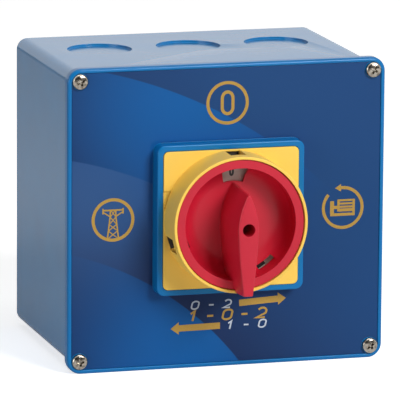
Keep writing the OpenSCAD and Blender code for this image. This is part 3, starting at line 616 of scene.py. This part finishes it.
def stroke(points, widths, low, high, closed=False):
    """A flat printed line: a rectangle of given widths carried along a path of (x, z), its corners set on the
    line that halves each turn, so that the line keeps its width round it. An open line's ends are closed to a
    point in the middle of the rectangle."""
    p = np.asarray(points, float)
    step = np.diff(p, axis=0, append=p[:1])
    step /= np.maximum(np.hypot(*step.T), 1e-9)[:, None]
    before = np.roll(step, 1, axis=0)
    if not closed:
        step[-1], before[0] = before[-1], step[0]
    side = step + before
    side /= np.hypot(*side.T)[:, None]
    mitre = np.maximum((side * step).sum(1), 0.35)
    half = np.broadcast_to(np.asarray(widths, float) / 2, len(p)) / mitre
    off = np.stack([-side[:, 1], side[:, 0]], 1) * half[:, None]
    sections = np.stack([p + off, p + off, p - off, p - off], 1)
    depth = np.tile([low, high, high, low], (len(p) + 2 * (not closed), 1)).astype(float)
    if not closed:
        ends = sections[[0, -1]].mean(1, keepdims=True).repeat(4, 1)
        sections = np.concatenate([ends[:1], sections, ends[1:]])
        depth[[0, -1]] = (low + high) / 2
    return shells(at(sections[..., 0], sections[..., 1], depth), ring=closed)


def arc(x, z, rx, rz, start, end, steps=48):
    """Points of an ellipse about (x, z) from one angle to another, in degrees."""
    a = np.radians(np.linspace(start, end, steps, endpoint=end - start < 360))
    return np.stack([x + rx * np.cos(a), z + rz * np.sin(a)], 1)


def figure(digit, x, z, tall, wide, thick, layer, lean=0.0, turn=0.0):
    """A plain figure of strokes about (x, z): each path is drawn in a unit square, made wide and tall,
    leant over and turned. The figures are 0, 1, 2 and a dash, and I and II for the positions."""
    bend = arc(0, 0.62, 0.5, 0.38, 150, -35, 14)
    paths = {
        "0": [(np.concatenate([arc(0, 0.71, 0.5, 0.29, 0, 180, 13), arc(0, 0.29, 0.5, 0.29, 180, 360, 13)]),
               True)],
        "1": [(np.array([(-0.35, 0.74), (0.05, 1.0), (0.05, 0.0)]), False)],
        "2": [(np.concatenate([bend, [(-0.5, 0.0), (0.5, 0.0)]]), False)],
        "I": [(np.array([(0, 0.0), (0, 1.0)]), False)],
        "II": [(np.array([(-0.4, 0.0), (-0.4, 1.0)]), False), (np.array([(0.4, 0.0), (0.4, 1.0)]), False)],
        "-": [(np.array([(-0.35, 0.45), (0.35, 0.45)]), False)],
    }
    c, s = math.cos(math.radians(turn)), math.sin(math.radians(turn))
    made = []
    for path, closed in paths[digit]:
        up = (path[:, 1] - 0.5) * tall
        across = path[:, 0] * wide + lean * up
        made.append(stroke(np.stack([x + across * c - up * s, z + across * s + up * c], 1), thick,
                           *layer, closed=closed))
    return made


class SWITCH_OT_marks(bpy.types.Operator):
    """The gold and pale marks on the film: rings, supply and generator pictograms, arrows and figures"""
    bl_idname = "switch.marks"
    bl_label = "Printed marks"

    def execute(self, context):
        sizes = context.scene.switch_sizes
        low = front("front_label") / MM
        layer = (low, low + sizes.print_thickness / MM)
        ring_w = sizes.stroke / MM
        ring_r = 10.7 - ring_w / 2
        trace = 0.0015
        growth = itertools.count()

        def line(points, widths, closed=False):
            """A line a trace thicker than the one before it, so that no two share a face where they cross."""
            return stroke(points, widths, layer[0], layer[1] + trace * next(growth), closed=closed)

        def row(signs, x, z, step, *sizes):
            """Leaning figures side by side, the first about (x, z)."""
            return [part for k, sign in enumerate(signs)
                    for part in figure(sign, x + step * k, z, *sizes, layer, lean=0.25)]

        # Middles of the three rings
        zero, pylon, generator = (0, 55.5), (-57.2, 0.5), (59.1, 1.0)
        gold = [line(arc(*middle, ring_r, ring_r, 0, 360, 72), ring_w, True) for middle in (zero, pylon)]
        gold += figure("0", *zero, 10.7, 5.4, 1.55, layer)
        # Pylon: two splayed legs, crossed braces, and one pair of arms with their insulators
        x, z = pylon
        rungs = ((2.8, -9.4), (2.3, -5.4), (1.9, -2.2), (1.45, 1.4), (1.3, 5.0))
        for side in (-1, 1):
            gold += [line([(x + side * a, z + b) for a, b in rungs], 0.7),
                     line([(x + side * 1.4, z + 1.6), (x + side * 4.9, z + 3.9)], 0.6),
                     line([(x + side * 5.0, z + 2.9), (x + side * 5.0, z + 5.7)], 0.7)]
            gold += [line([(x - side * a, z + b), (x + side * c, z + d)], 0.5)
                     for (a, b), (c, d) in zip(rungs, rungs[1:])]
        gold += [line([(x - 5.0, z + 4.8), (x + 5.0, z + 4.8)], 0.8)]
        # Generating set in an open ring with an arrow's head
        x, z = generator
        gold += [line(arc(x, z, ring_r, ring_r, -222, 97, 64), ring_w)]
        tip = np.array([x - 4.0, z + ring_r - 0.15])
        gold += [line([tip + (3.0, 0.1), tip], [3.8, 0.05])]
        gold += [line([(x - 6.4, z - 3.4), (x + 6.2, z - 3.4)], 1.4),
                 line([(x - 5.5, z - 2.9), (x - 5.5, z + 3.4)], 2.0),
                 line([(x - 4.6, z + 0.2), (x - 2.4, z + 0.2)], 1.6),
                 line([(x - 2.2, z - 1.9), (x - 2.2, z + 4.1)], 1.2),
                 line([(x + 5.6, z - 3.0), (x + 5.6, z + 4.1)], 1.2),
                 line([(x - 2.2, z - 1.2), (x + 5.6, z - 1.2)], 1.5)]
        gold += [line([(x - 2.2, z + k), (x + 5.6, z + k)], 1.0) for k in (0.4, 2.0, 3.65)]
        # Arrows to each side, and the figures of the three positions
        for tail, neck, tip in (((6.7, -43.9), (26.4, -42.8), (30.4, -42.6)),
                                ((-3.0, -54.7), (-23.9, -55.0), (-27.9, -55.1))):
            gold += [line([tail, neck], 3.2), line([neck, tip], [6.2, 0.1])]
        gold += row("1-0-2", -16.6, -49.3, 8.7, 4.8, 4.4, 1.0)
        pale = row("0-2", -15.6, -43.9, 8.2, 3.8, 3.4, 0.75) + row("1-0", 2.2, -54.7, 8.2, 3.8, 3.4, 0.75)
        show("gold_marks", joined(*gold), "front_label",
             ink("Gold screen ink", context.scene.switch_colours.gold, 0.35), stands_for=False)
        show("pale_marks", joined(*pale), "front_label",
             ink("Pale grey screen ink", linear("b9c2cf"), 0.35), stands_for=False)
        return {"FINISHED"}


def pan_head(radius, tall, shank, length, seat):
    """A pan-head screw with a cross recess, about the axis at (0, 0), its head's seat at that depth. The
    dome falls by the square of the distance from its middle, and the recess is two crossed bars."""
    r = np.linspace(0, 0.86, 8)
    dome = [(radius * s, seat + tall * (1 - 0.28 * s * s)) for s in r]
    body = shells(revolved(
        [(0, seat - length), (shank * 0.4, seat - length), (shank, seat - length + 1.5 * shank),
         (shank, seat), (radius * 0.97, seat), (radius, seat + 0.12 * tall), (radius, seat + 0.42 * tall),
         (radius * 0.965, seat + 0.62 * tall), *dome[::-1]], 12))
    deep, over, half = seat + 0.36 * tall, seat + tall + 0.3, radius * 0.56
    bars = shells(*[outline([(0, 0, 0, deep - 0.1), (a * 0.55, b * 0.55, 0, deep), (a, b, 0, over),
                             (0, 0, 0, over)], 1)
                    for a, b in ((half, radius * 0.17), (radius * 0.169, half))])
    return carved(body, bars)


class SWITCH_OT_cover_screws(bpy.types.Operator):
    """The four pan-head screws of the cover"""
    bl_idname = "switch.cover_screws"
    bl_label = "Cover screws"

    def execute(self, context):
        seat = front("cover_screws") / MM - 2.6
        mesh = copies(pan_head(3.85, 2.6, 1.45, 16, seat),
                      [(-SCREW_X, SCREW_Z, 20), (SCREW_X, SCREW_Z, 62), (-SCREW_X, -SCREW_Z, 5),
                       (SCREW_X, -SCREW_Z, 35)])
        show("cover_screw_heads", mesh, "cover_screws", bright_steel())
        return {"FINISHED"}


class SWITCH_OT_plate(bpy.types.Operator):
    """The yellow square plate, with its bearing tube and the notches in its sides"""
    bl_idname = "switch.plate"
    bl_label = "Plate"

    def execute(self, context):
        half = width("escutcheon_plate") / MM / 2
        low, high = back("escutcheon_plate") / MM, front("escutcheon_plate") / MM
        seat = high - 1.4
        rows = rounded_path([(half, half, 2.5, seat), (half, half, 2.5, high), (7.55, 7.55, 7.55, high),
                             (7.55, 7.55, 7.55, low), (10.3, 10.3, 10.3, low), (10.3, 10.3, 10.3, seat)],
                            [0.15, 0.3, 0.2, 0.2, 0.2, 0], closed=True)
        cuts = round_axis(block(-half + 2.75, 10.45, 3.25, 4.45, high - 0.9, high + 1), (0, 180))
        cuts += round_axis(block(31.75, 0, 1.35, 3.9, seat - 1, high + 1), SLOT_ANGLES)
        cuts += round_axis(rod(1.7, seat - 1, high + 1, POST_REACH), POST_ANGLES)
        show("plate", carved(shells(outline(rows), ring=True), shells(*cuts)), "escutcheon_plate",
             yellow_plastic())
        return {"FINISHED"}


class SWITCH_OT_collar(bpy.types.Operator):
    """The lock collar, with its three padlock slots and its posts"""
    bl_idname = "switch.collar"
    bl_label = "Lock collar"

    def execute(self, context):
        r = width("lock_collar") / MM / 2
        low, high = back("lock_collar") / MM, front("lock_collar") / MM
        wall = shells(revolved(rounded_path([(r, low), (r - 0.3, high), (r - 1.7, high), (r - 1.7, low)],
                                            [0.05, 0.4, 0.15, 0], closed=True), 32), ring=True)
        cuts = shells(*round_axis(block(r - 0.5, 0, 2.5, 3.9, low - 1, low + 12), SLOT_ANGLES))
        post = shells(revolved(rounded_path([(1.3, low), (3.2, low), (3.2, low + 3.9), (1.3, low + 3.9)],
                                            [0, 0, 0.3, 0.2], closed=True), 8, x=POST_REACH), ring=True)
        posts = [post.copy() for _ in POST_ANGLES]
        for one, angle in zip(posts, POST_ANGLES):
            one.transform(Matrix.Rotation(math.radians(-angle), 4, "Y"))
        show("collar", joined(carved(wall, cuts), *posts), "lock_collar", yellow_plastic())
        return {"FINISHED"}


class SWITCH_OT_dial(bpy.types.Operator):
    """The grey dial with the figures of the three positions, and two black patches of painted shade where the
    handle's side windows look onto it
    """
    bl_idname = "switch.dial"
    bl_label = "Dial"

    def execute(self, context):
        low, high = back("dial_plate") / MM, front("dial_plate") / MM
        rows = rounded_path([(30, low), (30, high), (8.1, high), (8.1, low)], [0, 0.2, 0.2, 0],
                            closed=True)
        cuts = shells(*round_axis(rod(3.5, low - 1, high + 1, POST_REACH, turns=12), POST_ANGLES))
        show("dial", carved(shells(revolved(rows, 32), ring=True), cuts), "dial_plate",
             finish_for("grey_dial"))
        layer = (high, high + 0.04)
        marks = figure("0", -0.4, 24.0, 4.7, 1.45, 1.0, layer)
        for position, side in (("I", -1), ("II", 1)):
            marks += figure(position, side * 23.6, 0, 5.4, 3.0, 0.95, layer, turn=-90 * side)
        # Painted shade: two black patches on the dial under the handle's side windows, standing in for the
        # shade seen through them
        marks += [shells(sector(24.4, 28.6, middle, 6, *layer)) for middle in (193, 301)]
        show("dial_figures_and_painted_shade", joined(*marks), "dial_plate", ink("Black screen ink and painted shade", linear("0c0b0b"), 0.4),
             stands_for=False)
        return {"FINISHED"}


def leaf(w, tip, end, edge):
    """The leaf outline of the grip, its core drawn in by edge: above the axis the half width is w less w
    times the height share to the power 1.8, and below it w less 2.7 mm times that share to the power 1.5.
    For each direction the point is the one that lies furthest that way."""
    up = (1 - (1 - np.linspace(0, 1, 160)) ** 2) * (tip - 1.3 * edge)
    down = -np.linspace(0, 1, 80) * (end - edge)
    half = np.concatenate([(w - edge) * (1 - (up / up[-1]) ** 1.8),
                           w - edge - 2.7 * (-down / (end - edge)) ** 1.5])
    y = np.concatenate([up, down])
    angles = np.radians(np.concatenate([np.linspace(-90, -7, 6), np.linspace(-6, 0, 7),
                                        np.linspace(1, 29, 29), np.linspace(34, 90, 8)]))
    angles = np.concatenate([angles, np.pi - angles[-2:0:-1]])
    direction = np.stack([np.cos(angles), np.sin(angles)])
    points = np.stack([np.concatenate([half, -half]), np.concatenate([y, y])], 1)
    return points[np.argmax(points @ direction, axis=0)], direction.T


def grip_surface(low, high, edge):
    """The grip: leaf outlines from its foot to its top, growing narrower in proportion to the height, and
    near the top drawn in by a quarter circle. Its ends are closed to a point in the middle."""
    turn = np.radians(np.linspace(0, 90, 7))
    levels = np.concatenate([[low, low], np.linspace(low, high - edge, 9)[1:],
                             high - edge + edge * np.sin(turn[1:]), [high, high]])
    inward = np.concatenate([[0.0] * 10, edge * (1 - np.cos(turn[1:])), [edge, edge]])
    rings = []
    for level, drawn in zip(levels, inward):
        s = (level - low) / (high - low)
        core, direction = leaf(6.6 - 1.5 * s, 18.8 - 1.6 * s, 33.6 - s, edge)
        rings.append(core + direction * (edge - drawn))
    rings = np.array(rings)
    rings[0] = rings[-1] = (0, -6)
    return at(rings[..., 0], rings[..., 1], levels[:, None])


class SWITCH_OT_handle(bpy.types.Operator):
    """The red handle: its dish, rim and hub, the tall leaf-shaped grip, the windows and the screw's well"""
    bl_idname = "switch.handle"
    bl_label = "Handle"

    def execute(self, context):
        sizes = context.scene.switch_sizes
        edge, top = sizes.knob_edge / MM, front("handle_knob") / MM
        hub, rim = back("handle_knob") / MM, 136.3
        floor = rim - 13.5
        # Depths of the hub's grooves for the rubber ring and the clip, and of the foot of the grip
        seal, clip, foot = (117.75, 116.05), (111.8, 110.8), 122.05
        dish = shells(revolved(rounded_path(
            [(0, floor), (27.6, floor), (27.6, rim), (31.8, rim), (31.8, rim - 6), (29.8, rim - 6),
             (29.8, rim - 3), (29.1, rim - 3), (29.1, floor - 1.5), (7.5, floor - 1.5), (7.5, seal[0]),
             (5.8, seal[0]), (5.8, seal[1]), (7.5, seal[1]), (7.5, clip[0]), (6.9, clip[0]), (6.9, clip[1]),
             (7.5, clip[1]), (7.5, hub), (0, hub)],
            [0, 9, edge, 0.3, 0.2, 0.2, 0, 0, 10.5, 0.5] + [0] * 8 + [0.4, 0], steps=10), 32))
        grip = shells(grip_surface(foot, top, sizes.grip_edge / MM))
        limit = shells(revolved(rounded_path(
            [(0, foot), (28.35, foot), (28.35, 135.3), (31.6, 135.3), (31.6, 138), (36.6, 138),
             (36.6, top + 5), (0, top + 5)], [0, 9.75, 0, 0, 0, 0, 0, 0], steps=10), 32))
        body = carved(dish, carved(grip, limit, "INTERSECT"), "UNION")
        windows = [sector(inner, outer, middle, half, 120.3, 130.8) for inner, outer, middle, half in
                   ((19, 27, 90, 15), (25.2, 27.4, 198, 10.2), (25.2, 27.4, 306, 10.2))]
        socket = shells(block(0, 0, 3.1, 3.1, hub - 1, 124.6))
        for tool in (shells(rod(3.1, 128.2, top + 1, turns=12), *windows),
                     shells(rod(1.7, 120, 130, turns=8)), socket):
            body = carved(body, tool)
        show("handle", body, "handle_knob", red_plastic())
        return {"FINISHED"}


class SWITCH_OT_handle_screw(bpy.types.Operator):
    """The screw at the bottom of the grip's well"""
    bl_idname = "switch.handle_screw"
    bl_label = "Handle screw"

    def execute(self, context):
        seat = front("handle_screw") / MM - 2
        mesh = pan_head(2.6, 2, 1.5, seat - back("handle_screw") / MM, seat)
        show("handle_screw_head", mesh, "handle_screw", bright_steel())
        return {"FINISHED"}


def coil_spring(radius, wire, low, high, depth, coils=4, steps=24, sides=10):
    """Wire wound round an upright axis at the given depth. The first parameter runs along the wire, whose
    height grows evenly over the coils; the second runs round the wire's section, in the plane of the axis."""
    turn = np.concatenate([[0], np.linspace(0, coils, coils * steps + 1), [coils]])[:, None]
    thick = wire * np.concatenate([[0], np.ones(coils * steps + 1), [0]])[:, None]
    round_it = np.linspace(0, 2 * np.pi, sides, endpoint=False)
    out = radius + thick * np.cos(round_it)
    rise = low + wire + (high - low - 2 * wire) * turn / coils + thick * np.sin(round_it)
    return at(out * np.cos(2 * np.pi * turn), rise, depth + out * np.sin(2 * np.pi * turn))


class SWITCH_OT_plunger_springs(bpy.types.Operator):
    """The springs that press the plungers onto the cams"""
    bl_idname = "switch.plunger_springs"
    bl_label = "Plunger springs"

    def execute(self, context):
        # Radius of the wire, and the gap to the seats at both ends
        wire, clear = 0.45, 0.02
        decks = sum(name.startswith("contact_deck_") for name in frame["nodes"])
        steel = finish_for("spring_steel")
        for node, carrier in (("upper_springs", "upper_contacts"), ("lower_springs", "lower_contacts")):
            lowest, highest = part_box(node)
            outside = width(node) / MM / 2
            depths = np.linspace(back(node) / MM + outside, front(node) / MM - outside, decks)
            low, high = lowest.z / MM + clear, highest.z / MM - clear
            mesh = shells(*(coil_spring(outside - wire, wire, low, high, depth) for depth in depths))
            piece = show(node + "_wire", mesh, node, steel, sharp=60, rides=False)
            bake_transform(piece)
        return {"FINISHED"}


class SWITCH_OT_inside(bpy.types.Operator):
    """Finishes for every CAD node that is shown as it is: seals, switch decks, contacts and fixings"""
    bl_idname = "switch.inside"
    bl_label = "Inside parts"

    def execute(self, context):
        for name, node in frame["nodes"].items():
            material = finish_for(SLOT_OF[name])
            for holder in node.material_slots:
                holder.material = material
        return {"FINISHED"}


class SWITCH_OT_stage(bpy.types.Operator):
    """A pale floor, soft light and the camera"""
    bl_idname = "switch.stage"
    bl_label = "Stage"

    def execute(self, context):
        scene = context.scene
        scene.view_settings.view_transform = "Standard"
        # World: white where it is seen or mirrored, and a plain level of light elsewhere
        world = bpy.data.worlds.new("Studio")
        scene.world = world
        world.use_nodes = True
        tree = world.node_tree
        path = add(tree, "ShaderNodeLightPath").outputs
        seen = path["Is Camera Ray"]
        for ray in ("Is Glossy Ray", "Is Transmission Ray"):
            seen = add(tree, "ShaderNodeMath", {0: seen, 1: path[ray]}, operation="MAXIMUM").outputs["Value"]
        feed(tree, tree.nodes["Background"], {"Strength": spread(tree, seen, 0.01, 1.0),
                                              "Color": (1, 1, 1, 1)})
        # Floor: white board that keeps the shadow, lifted to white where the camera sees it, and lifted a
        # little where it is mirrored
        half, ground = 12, CAD_BOX[0].z
        floor = [(-half, -half, ground), (half, -half, ground), (half, half, ground), (-half, half, ground)]
        board, tree, shader = fresh("White studio board")
        fibre = noise(tree, add(tree, "ShaderNodeTexCoord").outputs["Object"], 2, 2.0)
        path = add(tree, "ShaderNodeLightPath").outputs
        lift = add(tree, "ShaderNodeMath", {0: path["Is Glossy Ray"], 1: 0.15}, operation="MULTIPLY")
        lift = add(tree, "ShaderNodeMath", {0: path["Is Camera Ray"], 1: 0.71, 2: lift.outputs["Value"]},
                   operation="MULTIPLY_ADD")
        feed(tree, shader, {"Base Color": spread(tree, fibre, 0.86, 0.9), "Roughness": 0.9,
                            "Specular IOR Level": 0.1, "Emission Color": (1, 1, 1, 1),
                            "Emission Strength": lift.outputs["Value"]})
        # Wall: the unlit side of the studio, which the front of the switch mirrors. The camera sees through
        # it, so that it hides nothing in a view from further off
        half, away, top = 4, -3.2, 4
        wall = [(-half, away, ground), (half, away, ground), (half, away, top), (-half, away, top)]
        paint, tree, shader = fresh("Dark matt paint")
        shader.inputs["Base Color"].default_value = linear("202225")
        clear = add(tree, "ShaderNodeBsdfTransparent")
        mix = add(tree, "ShaderNodeMixShader", {0: add(tree, "ShaderNodeLightPath").outputs["Is Camera Ray"],
                                                1: shader.outputs["BSDF"], 2: clear.outputs["BSDF"]})
        tree.links.new(mix.outputs["Shader"], tree.nodes["Material Output"].inputs["Surface"])
        for name, corners, material in (("floor", floor, board), ("wall", wall, paint)):
            mesh = bpy.data.meshes.new(name)
            mesh.from_pydata(corners, [], [(0, 1, 2, 3)])
            mesh.materials.append(material)
            stage = bpy.data.objects.new(name, mesh)
            scene.collection.objects.link(stage)
        # A large soft lamp from the upper right, and weaker ones from above and from the left
        for name, place, size, power in (("Key", (0.9, -1.9, 1.2), 0.9, 45),
                                         ("Top", (0.0, -0.4, 2.3), 1.2, 13),
                                         ("Left", (-1.9, -0.9, 0.2), 1.2, 12)):
            lamp = bpy.data.lights.new(name, "AREA")
            lamp.size, lamp.energy = size, power
            holder = bpy.data.objects.new(name, lamp)
            holder.location = place
            holder.rotation_mode = "QUATERNION"
            holder.rotation_quaternion = (-Vector(place)).to_track_quat("-Z", "Y")
            scene.collection.objects.link(holder)
        # Camera: a long lens from the left and above, with a trace of roll. Its place is the middle of the
        # cover's face, moved by so many millimetres along its own three directions
        yaw, pitch, roll = np.radians([16.13, 11.16, 0.40])
        right, rise, distance = -12.97, 7.43, 2429
        ahead = np.array([math.sin(yaw), math.cos(yaw), 0])
        across = np.array([math.cos(yaw), -math.sin(yaw), 0])
        up = np.array([0, 0, 1.0])
        ahead, up = (ahead * math.cos(pitch) - up * math.sin(pitch),
                     up * math.cos(pitch) + ahead * math.sin(pitch))
        across, up = (across * math.cos(roll) + up * math.sin(roll),
                      up * math.cos(roll) - across * math.sin(roll))
        place = at(0, 0, 112.0) + (right * across + rise * up - distance * ahead) * MM
        lens = bpy.data.cameras.new("Camera")
        lens.sensor_width, lens.lens, lens.clip_end = 36, 450, 100
        camera = bpy.data.objects.new("Camera", lens)
        turn = np.eye(4)
        turn[:3, :3] = np.stack([across, up, -ahead], 1)
        turn[:3, 3] = place
        camera.matrix_world = Matrix(turn.tolist())
        scene.collection.objects.link(camera)
        scene.camera = camera
        return {"FINISHED"}


OPERATORS = (SWITCH_OT_box, SWITCH_OT_cover, SWITCH_OT_film, SWITCH_OT_marks, SWITCH_OT_cover_screws,
             SWITCH_OT_plate, SWITCH_OT_collar, SWITCH_OT_dial, SWITCH_OT_handle, SWITCH_OT_handle_screw,
             SWITCH_OT_plunger_springs, SWITCH_OT_inside, SWITCH_OT_stage)


class SWITCH_PT_panel(bpy.types.Panel):
    """Lists the pieces of the switch"""
    bl_idname = "SWITCH_PT_panel"
    bl_label = "Changeover switch"
    bl_space_type = "VIEW_3D"
    bl_region_type = "UI"
    bl_category = "Switch"

    def draw(self, context):
        for group in (context.scene.switch_sizes, context.scene.switch_colours):
            for key in group.__annotations__:
                self.layout.prop(group, key)
        for operator in OPERATORS:
            self.layout.operator(operator.bl_idname)


CLASSES = (SwitchSizes, SwitchColours, *OPERATORS, SWITCH_PT_panel)


def register():
    for kind in CLASSES:
        bpy.utils.register_class(kind)
    bpy.types.Scene.switch_sizes = bpy.props.PointerProperty(type=SwitchSizes)
    bpy.types.Scene.switch_colours = bpy.props.PointerProperty(type=SwitchColours)


def unregister():
    del bpy.types.Scene.switch_colours
    del bpy.types.Scene.switch_sizes
    for kind in reversed(CLASSES):
        bpy.utils.unregister_class(kind)


def main():
    """Builds every piece and the stage."""
    register()
    for operator in OPERATORS:
        group, name = operator.bl_idname.split(".")
        getattr(getattr(bpy.ops, group), name)()


if __name__ == "__main__":
    main()
